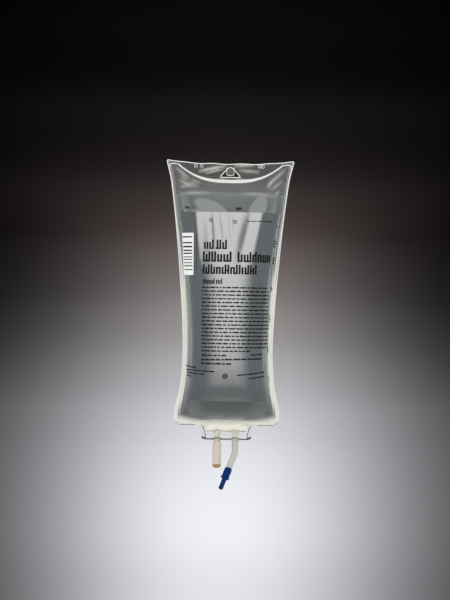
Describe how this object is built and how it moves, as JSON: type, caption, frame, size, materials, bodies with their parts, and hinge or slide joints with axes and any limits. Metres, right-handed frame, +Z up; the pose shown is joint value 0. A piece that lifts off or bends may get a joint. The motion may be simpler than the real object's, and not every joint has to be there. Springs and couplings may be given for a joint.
{
  "type": "iv fluid bag",
  "caption": "Filled, clear infusion bag hanging from its slot: two welded films, a label panel, an additive port with a rubber stopper and an outlet port under a pull-off protector.",
  "frame": {"origin": "top of the hanger slot, where a hook bears, midway between the two welded films", "axes": "+Z up the hanging bag, +X across it to the viewer's right, front and label towards -Y"},
  "size_m": [0.1292, 0.0773, 0.3362],
  "materials": {
    "film": "clear flexible film, glossy, slightly grey",
    "liquid": "clear colourless liquid",
    "label": "silver-grey satin panel",
    "port_tube": "translucent flexible tube",
    "sleeve": "beige moulded plastic",
    "stopper": "tan rubber",
    "membrane_tube": "stiff translucent tube",
    "protector": "blue moulded plastic, satin"
  },
  "bodies": {
    "bag": {"front_film": "film", "back_film": "film", "saline": "liquid", "label_panel": "label", "medication_port_tube": "port_tube", "medication_port_sleeve": "sleeve", "medication_stopper": "stopper", "outlet_port_tube": "port_tube", "outlet_membrane_tube": "membrane_tube"},
    "protector": {"outlet_protector": "protector"}
  },
  "joints": [
    {"name": "protector_pull", "type": "slide", "parent": "bag", "child": "protector", "axis": [-0.342, -0.4119, -0.8446], "range_m": [0, 0.03]}
  ]
}
